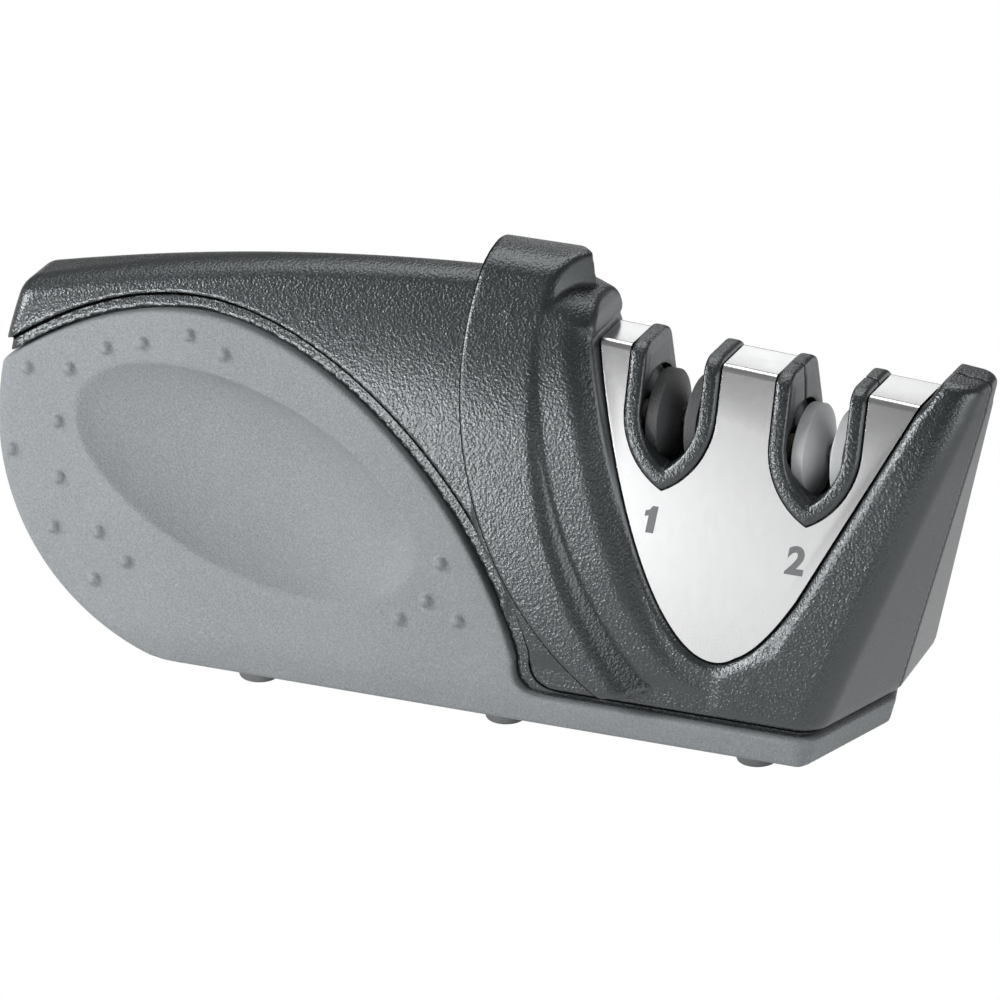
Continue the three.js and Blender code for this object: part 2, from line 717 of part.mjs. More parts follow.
function plastic(color, roughness) {
  return new THREE.MeshStandardMaterial({ color, roughness, metalness: 0 });
}

function metal(color, roughness) {
  return new THREE.MeshStandardMaterial({ color, roughness, metalness: 1 });
}

const black = plastic(0x23282b, 0.55);
const softGrey = plastic(0x85888b, 0.7);
const steel = metal(0xd8d9da, 0.3);
const zinc = metal(0x9a9c9e, 0.4);
const rubber = plastic(0x6d7073, 0.9);
const diamond = plastic(0x4a4d50, 0.85);
const ceramic = plastic(0xb9bcbe, 0.6);
const nylon = plastic(0xd9d6cc, 0.5);

// Assembly, moved so that the middle of its length is at X = 0

const assembly = new THREE.Group();
assembly.name = "knife_sharpener";
const front = frontHousing();
const middle = (NOSE_X + front.boundingBox().max[0]) / 2;

function add(name, solid, material) {
  const mesh = new THREE.Mesh(geometryOf(solid.translate([-middle, 0, 0])), material);
  mesh.name = name;
  assembly.add(mesh);
}

add("grip_tub", gripTub(), softGrey);
add("front_housing", front, black);
add("rear_housing", mirrored(front), black);
add("face_plate", facePlate(), steel);
for (const stage of stages) {
  const grit = stage.name === "coarse" ? diamond : ceramic;
  const reach = BOSS_IN + BOSS_THICK;
  const bore = AXLE_RADIUS + RUN;
  add(stage.name + "_axle", rodX(AXLE_RADIUS, stage.x - reach, stage.x + reach, stage.axle), zinc);
  for (const [label, side] of [["left", -1], ["right", 1]]) {
    const stem = stage.name + "_" + label;
    add(stem + "_wheel", wheel(stage, side), grit);
    add(stem + "_spacer", sleeve(stage, side, SPACER_RADIUS, bore, HUB_END + GAP, BOSS_IN - GAP), nylon);
    add(stem + "_bush", sleeve(stage, side, BUSH_RADIUS, bore, BOSS_IN, reach), nylon);
  }
}
footPlaces().forEach(([x, y], i) => add("foot_" + (i + 1), foot(x, y), rubber));
screwPlaces().forEach(([x, y], i) => add("screw_" + (i + 1), screw(x, y), zinc));

export default assembly;
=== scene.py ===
import math
import bmesh
import bpy
import numpy as np
import openvdb
from mathutils import Matrix, Vector


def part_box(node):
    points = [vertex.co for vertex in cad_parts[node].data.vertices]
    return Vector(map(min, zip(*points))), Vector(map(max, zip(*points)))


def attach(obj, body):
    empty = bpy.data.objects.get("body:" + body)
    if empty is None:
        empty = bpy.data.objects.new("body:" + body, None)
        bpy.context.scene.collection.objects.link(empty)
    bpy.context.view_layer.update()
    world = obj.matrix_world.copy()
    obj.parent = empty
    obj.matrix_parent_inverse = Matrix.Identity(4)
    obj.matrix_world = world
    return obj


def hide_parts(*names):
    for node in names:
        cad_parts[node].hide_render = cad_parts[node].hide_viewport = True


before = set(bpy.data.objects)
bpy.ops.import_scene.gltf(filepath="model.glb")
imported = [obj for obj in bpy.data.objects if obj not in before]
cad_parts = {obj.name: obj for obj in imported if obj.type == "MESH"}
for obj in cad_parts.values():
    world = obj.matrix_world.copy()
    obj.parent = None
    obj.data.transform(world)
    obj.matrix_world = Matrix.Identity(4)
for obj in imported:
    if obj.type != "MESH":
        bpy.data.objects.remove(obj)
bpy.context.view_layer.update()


# Axles, spacers and bushes. Ground steel pins carry the wheels, nylon spacers keep the wheels in the middle
# of their slot, and nylon bushes, held in the housing, let the pins turn. They keep their solids and get
# only a finish.

class Sock:
    """A shader socket that takes part in arithmetic."""

    def __init__(self, tree, socket):
        self.tree = tree
        self.socket = socket

    def node(self, kind, settings=None, **inputs):
        """A new node: its type, then its settings, then the values or links of its sockets."""
        made = self.tree.nodes.new("ShaderNode" + kind)
        for key, value in (settings or {}).items():
            setattr(made, key, value)
        for key, value in inputs.items():
            slot = made.inputs[int(key[1:])] if key[1:].isdigit() else made.inputs[key.replace("_", " ")]
            if isinstance(value, Sock):
                self.tree.links.new(value.socket, slot)
            else:
                slot.default_value = value
        return made

    def math(self, how, *others):
        made = self.node("Math", {"operation": how}, **{f"i{i}": v for i, v in enumerate((self, *others))})
        return Sock(self.tree, made.outputs[0])

    def __add__(self, other):
        return self.math("ADD", other)

    __radd__ = __add__

    def __mul__(self, other):
        return self.math("MULTIPLY", other)

    __rmul__ = __mul__

    def __sub__(self, other):
        return self.math("SUBTRACT", other)

    def __rsub__(self, other):
        return self * -1 + other

    def part(self, axis):
        made = self.node("SeparateXYZ", None, Vector=self)
        return Sock(self.tree, made.outputs["XYZ".index(axis)])

    def ramp(self, low, high):
        """0 below low, 1 above high, and a soft step between."""
        made = self.node("MapRange", {"interpolation_type": "SMOOTHSTEP"},
                         Value=self, From_Min=low, From_Max=high)
        return Sock(self.tree, made.outputs[0])

    def stretched(self, x, y, z):
        made = self.node("VectorMath", {"operation": "MULTIPLY"}, i0=self, i1=(x, y, z))
        return Sock(self.tree, made.outputs[0])

    def noise(self, scale, detail=2.0, roughness=0.5):
        made = self.node("TexNoise", None, Vector=self, Scale=scale, Detail=detail, Roughness=roughness)
        return Sock(self.tree, made.outputs[0])

    def cells(self, scale, feature="SMOOTH_F1"):
        made = self.node("TexVoronoi", {"feature": feature}, Vector=self, Scale=scale)
        return Sock(self.tree, made.outputs[0])

    def between(self, low, high):
        """A colour from low to high."""
        made = self.node("Mix", {"data_type": "RGBA"}, i0=self, i6=(*low, 1), i7=(*high, 1))
        return Sock(self.tree, made.outputs[2])


def material(name, **fixed):
    """A material with its fixed values, and the place on the piece, in metres."""
    made = bpy.data.materials.new(name)
    made.use_nodes = True
    tree = made.node_tree
    shader = tree.nodes["Principled BSDF"]
    for key, value in fixed.items():
        shader.inputs[key.replace("_", " ")].default_value = value
    return made, Sock(tree, tree.nodes.new("ShaderNodeTexCoord").outputs["Object"])


def feed(look, key, value):
    tree = look.node_tree
    tree.links.new(value.socket, tree.nodes["Principled BSDF"].inputs[key])


def bump(look, height, distance, strength=1.0):
    node = height.node("Bump", None, Height=height, Distance=distance, Strength=strength)
    feed(look, "Normal", Sock(look.node_tree, node.outputs[0]))


def dress(ending, look):
    """Gives a finish to the solids whose names end so."""
    for name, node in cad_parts.items():
        if name.rstrip("_0123456789").endswith(ending):
            node.data.materials.clear()
            node.data.materials.append(look)


axle_look, axle_at = material("ground_steel", Metallic=1.0)
axle_lines = axle_at.stretched(1, 0.05, 0.05).noise(4000, 3.0)
feed(axle_look, "Base Color", axle_lines.between((0.42, 0.42, 0.43), (0.6, 0.6, 0.61)))
feed(axle_look, "Roughness", axle_lines * 0.2 + 0.2)
bump(axle_look, axle_lines, 0.000008, 0.5)
dress("axle", axle_look)

nylon_look, nylon_at = material("plain_nylon", Subsurface_Weight=0.1, Subsurface_Radius=(0.002, 0.002, 0.001))
nylon_cloud = nylon_at.noise(500, 3.0)
feed(nylon_look, "Base Color", nylon_cloud.between((0.58, 0.56, 0.5), (0.72, 0.7, 0.64)))
feed(nylon_look, "Roughness", nylon_cloud * 0.2 + 0.4)
bump(nylon_look, nylon_cloud, 0.00002, 0.5)
dress("spacer", nylon_look)
dress("bush", nylon_look)


# Sharpening wheels. Two cone-faced discs a stage: the coarse pair dark with bonded grit, the fine pair pale
# and smooth. They are fixed on the axle, small ends together, and turn with it under the blade.

NOSE_X = -92.2
MIDDLE = NOSE_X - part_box("grip_tub")[0].x * 1000
SLOT_X = (49.4, 79.6)
SLOT_SPRING = (65.4, 62.9)
AXLE_BELOW_SPRING = 5
WHEEL_BORE = 1.8
WHEEL_HUB = 3.0
WHEEL_RADIUS = 9.4
WHEEL_SHOULDER = 4.5
WHEEL_RIM = 2.4
WHEEL_END = 7.6
HUB_FROM_MIDDLE = 0.4
CONE_SLOPE = 0.38
WHEEL_SIDES = 96


def in_frame(x, y, z):
    """A point of the side-view drawing, in millimetres, as a point of the frame, in metres."""
    return (x - MIDDLE) / 1000, y / 1000, z / 1000


def linked(name, mesh):
    piece = bpy.data.objects.new(name, mesh)
    bpy.context.scene.collection.objects.link(piece)
    return piece


def closed(name, verts, faces, merge=False):
    """A closed mesh with its faces turned outwards."""
    mesh = bpy.data.meshes.new(name)
    mesh.from_pydata(verts, [], faces)
    made = bmesh.new()
    made.from_mesh(mesh)
    if merge:
        bmesh.ops.remove_doubles(made, verts=made.verts, dist=1e-6)
    bmesh.ops.recalc_face_normals(made, faces=made.faces)
    made.to_mesh(mesh)
    made.free()
    return linked(name, mesh)


def rounded(piece, width, degrees, harden=True):
    """Small roundings on all edges sharper than an angle."""
    edge = piece.modifiers.new("edge", "BEVEL")
    edge.width = width / 1000
    edge.segments = 2
    edge.limit_method = "ANGLE"
    edge.angle_limit = math.radians(degrees)
    edge.harden_normals = harden


def turned(name, profile, sides, place, capped=False):
    """A profile of (radius, distance along the axle), turned; place puts its points in the frame."""
    count = len(profile)
    verts, faces = [], []
    for k in range(sides):
        turn = 2 * math.pi * k / sides
        verts += [place(r * math.cos(turn), r * math.sin(turn), along) for r, along in profile]
    for k in range(sides):
        here, after = k * count, (k + 1) % sides * count
        for j in range(count - 1 if capped else count):
            beside = (j + 1) % count
            faces.append((here + j, here + beside, after + beside, after + j))
    if capped:
        faces += [[k * count + j for k in range(sides)] for j in (0, count - 1)]
    piece = closed(name, verts, faces)
    piece.data.shade_smooth()
    return piece


coarse_look, coarse_at = material("bonded_grit", Specular_IOR_Level=0.5)
coarse_grit = coarse_at.cells(3800, "F1") + coarse_at.noise(6000, 2.0)
coarse_peaks = coarse_grit.ramp(0.3, 1.1)
feed(coarse_look, "Base Color", coarse_peaks.between((0.012, 0.013, 0.014), (0.07, 0.072, 0.075)))
feed(coarse_look, "Roughness", coarse_grit * 0.2 + 0.35)
bump(coarse_look, coarse_grit, 0.00008, 0.8)

fine_look, fine_at = material("fired_ceramic", Roughness=0.45, Specular_IOR_Level=0.5)
fine_grit = fine_at.noise(5200, 3.0, 0.6)
feed(fine_look, "Base Color", fine_grit.between((0.40, 0.41, 0.42), (0.56, 0.57, 0.58)))
bump(fine_look, fine_grit, 0.00002, 0.5)

wheel_face = HUB_FROM_MIDDLE + (WHEEL_RADIUS - WHEEL_HUB) * CONE_SLOPE
wheel_profile = [(WHEEL_BORE, HUB_FROM_MIDDLE), (WHEEL_HUB, HUB_FROM_MIDDLE), (WHEEL_RADIUS, wheel_face)]
wheel_profile += [(WHEEL_RADIUS, wheel_face + WHEEL_RIM), (WHEEL_SHOULDER, wheel_face + WHEEL_RIM)]
wheel_profile += [(WHEEL_HUB, WHEEL_END), (WHEEL_BORE, WHEEL_END)]
for i, (stage, look) in enumerate((("coarse", coarse_look), ("fine", fine_look))):
    axle_z = SLOT_SPRING[i] - AXLE_BELOW_SPRING
    for label, flip in (("left", -1), ("right", 1)):
        def on_axle(across, up, along):
            return in_frame(SLOT_X[i] + flip * along, across, axle_z + up)

        wheel = turned(f"{stage}_{label}_wheel_form", wheel_profile, WHEEL_SIDES, on_axle)
        rounded(wheel, width=0.2, degrees=12)
        wheel.data.materials.append(look)
        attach(wheel, f"{stage}_wheels")
        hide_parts(f"{stage}_{label}_wheel")


# Housing halves. Black plastic with a moulded grain: upper handle, raised collar, stepped hood, saddle with
# slot rims, and end wing. Each half is the zero level of a field of distances in millimetres, negative
# inside. They meet on the middle plane, and screws from below hold them to the tub.

STEP = 0.45
LEAN = 0.305
HOOD_LEAN = 0.25
BASE_HALF = 27
BASE_EDGE_Z = 8.5
FLOOR_Z = 3
SADDLE_X = 35
SADDLE_Z = 77.2
SADDLE_FALL = 0.055
SADDLE_FOLD = 2.2
FLANK_SOFT = 2
CROWN = 3
CROWN_MORE = 1.2
CROWN_FROM_Z = 60
CROWN_OVER = 14
END_X = 91.9
END_RAKE = 0.273
END_ROUND = 4
FRONT_END_SLOPE = 0.29
REAR_END_SLOPE = 0.06
NOSE_RADIUS = 85
NOSE = (NOSE_X + NOSE_RADIUS, 50)
CREST_RADIUS = 480
CREST = (38, 87.7 - CREST_RADIUS)
CORNER_RADIUS = 4.5
HEEL = (-36.5, 50)
HEEL_RUN = 55.7
HEEL_RISE = 49
HANDLE_FOOT = (22, 1)
HEAD_FROM = 18
GROOVE_FOOT_X = 26.4
GROOVE_CREST = (-51, 73.2)
GROOVE_LEFT = (-98, 53.6)
GROOVE_BEND = (7, 6)
GROOVE_FAR = 150
STRIP_Z = 10.4
LEDGE_BANDS = (2.9, 1.4)
LEDGE_DEPTH = 1.2
LEDGE_ROUND = 0.5
EDGE_ROUND = 0.6
FLOOR_ROUND = 0.8
COLLAR_RISE = 3.6
COLLAR_TOP = 92.6
COLLAR_CROWN = 5.5
COLLAR_ROUND = 1.0
COLLAR_JOIN = 0.15
COLLAR_LEFT = (73.4, 71, 67)
COLLAR_RIGHT = (102.6, 71, 76)
COLLAR_RIGHT_TALL = 0.75
COLLAR_SLANT = 4.2
COLLAR_SLANT_LESS = 1.2
COLLAR_SLANT_FROM_Z = 74
COLLAR_SLANT_OVER = 17
COLLAR_FOOT = (42.6, 11.5)
COLLAR_FOOT_SLOPE = 0.194
HOOD_TOP = 86.6
HOOD_CROWN = 6.5
HOOD_BEVEL = (2.2, 4.2)
HOOD_ROUND = 0.8
HOOD_JOIN = 0.25
WING_RISE = 0.5
WING_ROUND = 1.8
WING_JOIN = 0.6
RIM_WIDTH = 3.4
RIM_RISE = 0.5
RIM_ROUND = 0.9
POCKET_DEPTH = 1.7
POCKET_BEVEL = (0.8, 0.8)
POCKET_ROUND = 0.3
SLOT_HALF = 5.85
SLOT_RADIUS = 12.7
SLOT_ROUND = 0.35
ROOM_RADIUS = 10
ROOM_HALF = 8.3
ROOM_ROUND = 0.3
BUSH_HOLE = 3.4
BUSH_END = 13.2
SEAM_FROM_X = 60
SEAM_DEPTH = 0.1
SEAM_ROUND = 0.12
FAR_OFF = 9
FIELD_LOW = (-94.5, -31.5, 1)
FIELD_HIGH = (113.5, 2 * STEP, 94.5)
SHARP_EDGE = math.radians(38)


def arc(cx, cz, rx, rz, start, end, count=40):
    return [(cx + rx * math.cos(a), cz + rz * math.sin(a)) for a in np.linspace(start, end, count)]


def bezier(*handles, count=40):
    rows = []
    for t in np.linspace(0, 1, count):
        points = [np.array(h, float) for h in handles]
        while len(points) > 1:
            points = [a * (1 - t) + b * t for a, b in zip(points, points[1:])]
        rows.append(tuple(points[0]))
    return rows


def outline_distance(x, z, points):
    """Distance to a closed side-view outline, negative inside."""
    best = np.full(x.shape, 1e9, np.float32)
    inside = np.zeros(x.shape, bool)
    for (ax, az), (bx, bz) in zip(points, points[1:] + points[:1]):
        ex, ez = bx - ax, bz - az
        if ex * ex + ez * ez < 1e-8:
            continue
        wx, wz = x - ax, z - az
        t = np.clip((wx * ex + wz * ez) / (ex * ex + ez * ez), 0, 1)
        best = np.minimum(best, (wx - ex * t) ** 2 + (wz - ez * t) ** 2)
        if ez:
            inside ^= ((az > z) != (bz > z)) & (x < ex * (z - az) / ez + ax)
    return np.where(inside, -1, 1).astype(np.float32) * np.sqrt(best)


class Lattice:
    """A block of sample points, in millimetres."""

    def __init__(self, low, high, step):
        self.low = np.array(low, np.float32)
        self.step = step
        self.axes = [np.arange(a, b + step, step, dtype=np.float32) for a, b in zip(low, high)]
        self.x = self.axes[0][:, None, None]
        self.y = self.axes[1][None, :, None]
        self.z = self.axes[2][None, None, :]

    def outline(self, points):
        return outline_distance(*np.broadcast_arrays(self.x, self.z), points)


def meet(a, b, r=0.0):
    """What two solids share, with the edge between them rounded."""
    return np.minimum(np.maximum(a, b), -r) + np.hypot(np.maximum(a + r, 0), np.maximum(b + r, 0))


def join(a, b, r=0.0):
    return -meet(-a, -b, r)


def cut(a, b, r=0.0):
    return meet(a, -b, r)


def bevel(a, b, depth, width, r):
    """What two solids share, with the edge between them slanted off: so deep into a, so wide along b."""
    slant = (a / depth + b / width + 1) / math.hypot(1 / depth, 1 / width)
    return meet(np.maximum(a, b), slant, r)


def skin(name, field, lattice, half=False, mirror=False):
    """The zero level of a field as a smooth mesh object; a half is cut off at the middle plane."""
    reach = 4 * lattice.step
    grid = openvdb.FloatGrid(reach)
    grid.copyFromArray(np.clip(field, -reach, reach).astype(np.float32))
    points, quads = grid.convertToQuads()
    place = lattice.low + points * lattice.step
    place[:, 0] -= MIDDLE
    if half:
        place[:, 1] = np.minimum(place[:, 1], 0)
    if mirror:
        place[:, 1] *= -1
        quads = quads[:, ::-1]
    mesh = bpy.data.meshes.new(name)
    mesh.from_pydata((place / 1000).tolist(), [], quads.tolist())
    made = bmesh.new()
    made.from_mesh(mesh)
    bmesh.ops.dissolve_degenerate(made, dist=1e-6, edges=made.edges)
    if made.calc_volume(signed=True) < 0:
        bmesh.ops.reverse_faces(made, faces=made.faces)
    made.to_mesh(mesh)
    made.free()
    mesh.shade_smooth()
    mesh.set_sharp_from_angle(angle=SHARP_EDGE)
    return linked(name, mesh)


def half_width(z, lean=LEAN):
    return BASE_HALF - (z - BASE_EDGE_Z) * lean


def flank(at, lean=LEAN, soft=0.0):
    width = half_width(at.z, lean)
    return (np.hypot(at.y, soft) - np.hypot(width, soft)) / math.hypot(1, lean)


def saddle_top(x):
    return SADDLE_Z - SADDLE_FALL * (x - SADDLE_X)


def above_saddle(at):
    return (at.z - saddle_top(at.x)) / math.hypot(1, SADDLE_FALL)


def end_face(at, slope):
    ridge = END_X - END_RAKE * FLOOR_Z
    return (at.x + slope * np.abs(at.y) - END_RAKE * at.z - ridge) / math.sqrt(1 + slope ** 2 + END_RAKE ** 2)


def inner_fillet(a, radius_a, b, radius_b, fillet):
    """Centre of a fillet that touches two circles from inside, and its angles seen from both centres."""
    to_a, to_b = radius_a - fillet, radius_b - fillet
    apart = math.dist(a, b)
    along = (to_a ** 2 - to_b ** 2 + apart ** 2) / (2 * apart)
    aside = math.sqrt(to_a ** 2 - along ** 2)
    ux, uz = (b[0] - a[0]) / apart, (b[1] - a[1]) / apart
    centre = (a[0] + ux * along + uz * aside, a[1] + uz * along - ux * aside)
    turns = [math.atan2(centre[1] - c[1], centre[0] - c[0]) for c in (a, b)]
    return centre, turns


corner, corner_turns = inner_fillet(NOSE, NOSE_RADIUS, CREST, CREST_RADIUS, CORNER_RADIUS)
crest_end = math.pi / 2 + math.asin((CREST[0] - HANDLE_FOOT[0]) / CREST_RADIUS)
handle_outline = [HANDLE_FOOT]
handle_outline += arc(*HEEL, HEEL_RUN, HEEL_RISE, 1.5 * math.pi, math.pi, 60)
handle_outline += arc(*NOSE, NOSE_RADIUS, NOSE_RADIUS, math.pi, corner_turns[0])
handle_outline += arc(*corner, CORNER_RADIUS, CORNER_RADIUS, *corner_turns, 16)
handle_outline += arc(*CREST, CREST_RADIUS, CREST_RADIUS, corner_turns[1], crest_end)


def groove_outline(band, strip_band):
    """The grey side of the groove: the arched grip, and the strip under the head, moved in by two bands."""
    foot_x, strip = GROOVE_FOOT_X - band, STRIP_Z - strip_band
    crest_x, crest_z = GROOVE_CREST[0], GROOVE_CREST[1] - band
    left_x, left_z = GROOVE_LEFT[0], GROOVE_LEFT[1] - band
    run = foot_x - crest_x
    bend_x, bend_z = foot_x + GROOVE_BEND[0], strip + GROOVE_BEND[1]
    far = GROOVE_FAR
    points = [(left_x - far, -far), (far, -far), (far, strip), (bend_x, strip)]
    points += bezier((bend_x, strip), (foot_x, strip), (foot_x, bend_z), count=16)
    points += bezier((foot_x, bend_z), (foot_x - 0.17 * run, 0.62 * crest_z),
                     (0.36 * run + crest_x, crest_z), (crest_x, crest_z), count=60)
    points += bezier((crest_x, crest_z), ((crest_x + left_x) / 2, crest_z), (left_x, left_z))
    return points + [(left_x - far, left_z - far)]


def body_form(at, slope):
    """An arched handle and a saddle-shaped head between two leaning flanks."""
    crown = CROWN + CROWN_MORE * np.clip((at.z - CROWN_FROM_Z) / CROWN_OVER, 0, 1)
    handle = meet(at.outline(handle_outline), flank(at, soft=FLANK_SOFT), crown)
    head = meet(above_saddle(at), meet(flank(at), end_face(at, slope), END_ROUND), SADDLE_FOLD)
    both = join(handle, meet(head, HEAD_FROM - at.x))
    return meet(meet(both, np.abs(at.y) - BASE_HALF, EDGE_ROUND), FLOOR_Z - at.z, FLOOR_ROUND)


plate_left = bezier((33, 77.2), (37, 57), (47, 28), (59.5, 21.3))
plate_outline = [(33, 97.2), *plate_left]
plate_outline += bezier((59.5, 21.3), (64.5, 18.8), (68.5, 21.6))
plate_outline += bezier((68.5, 21.6), (73.5, 23.8), (79.6, 34))
plate_outline += [(112, 97.2)]
hood_outline = [(10, 11.5), (10, 96), (26, 96), (35.4, 78.3)]
hood_outline += [(x - 0.3, z) for x, z in plate_left]
hood_outline += [(64.5, 18.5), (75.5, 24.5), (80, 10.7)]
wing_outline = [(64.5, 10.7), (64.5, 18.8), (75.5, 24.8), (99.9, 72.8), (103.8, 78.7)]
wing_outline += [(150, 73.2), (150, 10.7)]


def slot_outline(i, grow):
    """A pointed-arch slot, open at the top."""
    half, radius = SLOT_HALF + grow, SLOT_RADIUS + grow
    sweep = math.acos((SLOT_RADIUS - SLOT_HALF) / radius)
    x, z = SLOT_X[i], SLOT_SPRING[i]
    points = [(x - half, z + 80)]
    points += arc(x - half + radius, z, radius, radius, math.pi, math.pi + sweep)
    points += arc(x + half - radius, z, radius, radius, -sweep, 0)
    return points + [(x + half, z + 80)]


def wheel_room(at, i):
    """The room in which the wheels of a stage turn, and the bores for their bushes."""
    from_axle = np.hypot(at.y, at.z - SLOT_SPRING[i] + AXLE_BELOW_SPRING)
    along_axle = np.abs(at.x - SLOT_X[i])
    room = meet(from_axle - ROOM_RADIUS, along_axle - ROOM_HALF)
    return join(room, meet(from_axle - BUSH_HOLE, along_axle - BUSH_END))


def from_collar_left(x, z):
    return np.hypot(x - COLLAR_LEFT[0], z - COLLAR_LEFT[1]) - COLLAR_LEFT[2]


def collar_form(at):
    """A band over the handle between two arcs; its right end is a face that slants in towards the head."""
    collar = meet(flank(at, soft=FLANK_SOFT) - COLLAR_RISE, at.z - COLLAR_TOP, COLLAR_CROWN)
    collar = meet(collar, from_collar_left(at.x, at.z), COLLAR_ROUND)
    high = np.clip((at.z - COLLAR_SLANT_FROM_Z) / COLLAR_SLANT_OVER, 0, 1)
    slant = (COLLAR_SLANT - COLLAR_SLANT_LESS * high * high * (3 - 2 * high)) / COLLAR_RISE
    right_x, right_z, right_radius = COLLAR_RIGHT
    above = (at.z - right_z) * np.where(at.z > right_z, COLLAR_RIGHT_TALL, 1)
    end = right_radius - np.hypot(at.x - right_x, above)
    collar = meet(collar, (end + flank(at) * slant) / np.hypot(1, slant), COLLAR_ROUND)
    foot_x, foot_z = COLLAR_FOOT
    return meet(collar, foot_z + (at.x - foot_x) * COLLAR_FOOT_SLOPE - at.z, COLLAR_ROUND)


def housing_field(at, slope):
    black_edge = at.outline(groove_outline(0, 0))
    body = body_form(at, slope)
    shell = cut(body, black_edge, EDGE_ROUND)
    ledge = cut(body + LEDGE_DEPTH, at.outline(groove_outline(*LEDGE_BANDS)), LEDGE_ROUND)
    shell = join(shell, ledge)
    shell = join(shell, cut(collar_form(at), black_edge, EDGE_ROUND), COLLAR_JOIN)
    hood = meet(flank(at, HOOD_LEAN), at.z - HOOD_TOP, HOOD_CROWN)
    hood = bevel(hood, at.outline(hood_outline), *HOOD_BEVEL, HOOD_ROUND)
    shell = join(shell, cut(hood, black_edge, EDGE_ROUND), HOOD_JOIN)
    wing = meet(flank(at) - WING_RISE, end_face(at, slope), END_ROUND)
    wing = meet(at.outline(wing_outline), wing, WING_ROUND)
    shell = join(shell, cut(wing, black_edge, EDGE_ROUND), WING_JOIN)
    saddle = meet(above_saddle(at), flank(at), SADDLE_FOLD)
    pocket = cut(at.outline(plate_outline), saddle + POCKET_DEPTH)
    shell = bevel(shell, -pocket, *POCKET_BEVEL, POCKET_ROUND)
    for i in range(2):
        opening = at.outline(slot_outline(i, 0))
        rim = cut(at.outline(slot_outline(i, RIM_WIDTH)), opening)
        shell = join(shell, meet(rim, saddle - RIM_RISE, RIM_ROUND))
        shell = cut(shell, opening, SLOT_ROUND)
        shell = cut(shell, wheel_room(at, i), ROOM_ROUND)
    seam = np.where(at.x > SEAM_FROM_X, at.y + SEAM_DEPTH, -FAR_OFF)
    return meet(shell, seam, SEAM_ROUND)


half_at = Lattice(FIELD_LOW, FIELD_HIGH, STEP)
front = skin("housing_front_skin", housing_field(half_at, FRONT_END_SLOPE), half_at, half=True)
rear = skin("housing_rear_skin", housing_field(half_at, REAR_END_SLOPE), half_at, half=True, mirror=True)

GRAIN_HEIGHT = 0.00013
UPPER_BEND_Z = 0.056
UPPER_BEND = -7.0
LOWER_BEND_Z = 0.042
LOWER_BEND = 2.0
GAP_SHADE_HALF_WIDTHS = (0.2, 0.48)
GAP_BANDS = (0.4, 0.2)
COLLAR_GAP_IN = 0.2
COLLAR_GAP_FROM_Z = 12

housing_look, housing_at = material("grained_black", IOR=1.5, Specular_IOR_Level=1.0,
                                    Specular_Tint=(0.93, 0.975, 1.0, 1))
housing_tree = housing_look.node_tree
housing_geometry = housing_tree.nodes.new("ShaderNodeNewGeometry")
housing_facing = Sock(housing_tree, housing_geometry.outputs["Normal"]).part("X")
housing_smooth = housing_facing.ramp(0.45, 0.75)
housing_grain = (1 - housing_at.cells(2000)) * 0.7 + housing_at.noise(3000, 2.0, 0.6) * 0.5
housing_peaks = housing_grain.ramp(0.5, 1.2)
feed(housing_look, "Base Color", housing_peaks.between((0.006, 0.008, 0.009), (0.024, 0.029, 0.032)))
feed(housing_look, "Roughness", housing_peaks * -0.08 + housing_smooth * 0.1 + 0.30)
housing_high = (housing_at.part("Z") - UPPER_BEND_Z).math("MAXIMUM", 0.0)
housing_low = (LOWER_BEND_Z - housing_at.part("Z")).math("MAXIMUM", 0.0)
housing_crown = housing_high * housing_high * UPPER_BEND - housing_low * housing_low * LOWER_BEND
bump(housing_look, housing_grain * (1 - housing_smooth * 0.9) * GRAIN_HEIGHT + housing_crown, 1.0)


def gap_shade_share(line):
    """1 on a seam between mouldings, 0 off it, from the distance kept on the mesh; there shade is painted
    into the seam.
    """
    distance = Sock(housing_tree, housing_at.node("Attribute", {"attribute_name": line}).outputs["Fac"])
    return 1 - distance.math("ABSOLUTE").ramp(*GAP_SHADE_HALF_WIDTHS)


# Painted shade: a near-black diffuse is mixed in along the groove under the black edge and along the seam at
# the collar's left arc, for the shade that falls into these narrow gaps. On the collar it is kept off the
# step wall that faces the handle.
off_the_wall = housing_facing.ramp(-0.9, -0.7)
gap_shade_mask = gap_shade_share("groove_gap").math("MAXIMUM", gap_shade_share("collar_gap") * off_the_wall)
gap_painted_shade = housing_at.node("BsdfDiffuse", None, Color=(0.002, 0.002, 0.002, 1))
gap_shade_mix = housing_at.node("MixShader", None, Fac=gap_shade_mask)
housing_tree.links.new(housing_tree.nodes["Principled BSDF"].outputs[0], gap_shade_mix.inputs[1])
housing_tree.links.new(gap_painted_shade.outputs[0], gap_shade_mix.inputs[2])
housing_tree.links.new(gap_shade_mix.outputs[0], housing_tree.nodes["Material Output"].inputs["Surface"])

# Distances to the groove and collar seams are kept on each half's mesh, for the painted seam shade.
for half, node in ((front, "front_housing"), (rear, "rear_housing")):
    place = np.empty(3 * len(half.data.vertices), np.float32)
    half.data.vertices.foreach_get("co", place)
    x, z = place[0::3] * 1000 + MIDDLE, place[2::3] * 1000
    from_collar = np.where(z > COLLAR_GAP_FROM_Z, from_collar_left(x, z) + COLLAR_GAP_IN, FAR_OFF)
    gaps = {"groove_gap": outline_distance(x, z, groove_outline(*GAP_BANDS)), "collar_gap": from_collar}
    for line, distance in gaps.items():
        row = half.data.attributes.new(line, "FLOAT", "POINT")
        row.data.foreach_set("value", distance.astype(np.float32))
    half.data.materials.append(housing_look)
    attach(half, "housing")
    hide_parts(node)


# Face plate. One sheet of brushed steel, folded over the saddle and notched round the slot rims. It lies in
# a shallow pocket of the housing, a little below the rims and the wing.

PLATE_DEPTH = 0.5
PLATE_SHEET = 0.8
PLATE_FOOT_Z = 14
PLATE_ENDS = (30, 108)
PLATE_GAP = 0.35
FOLD_POINTS = 10
CUTTER_REACH = 60
SAME_POINT = 1e-3


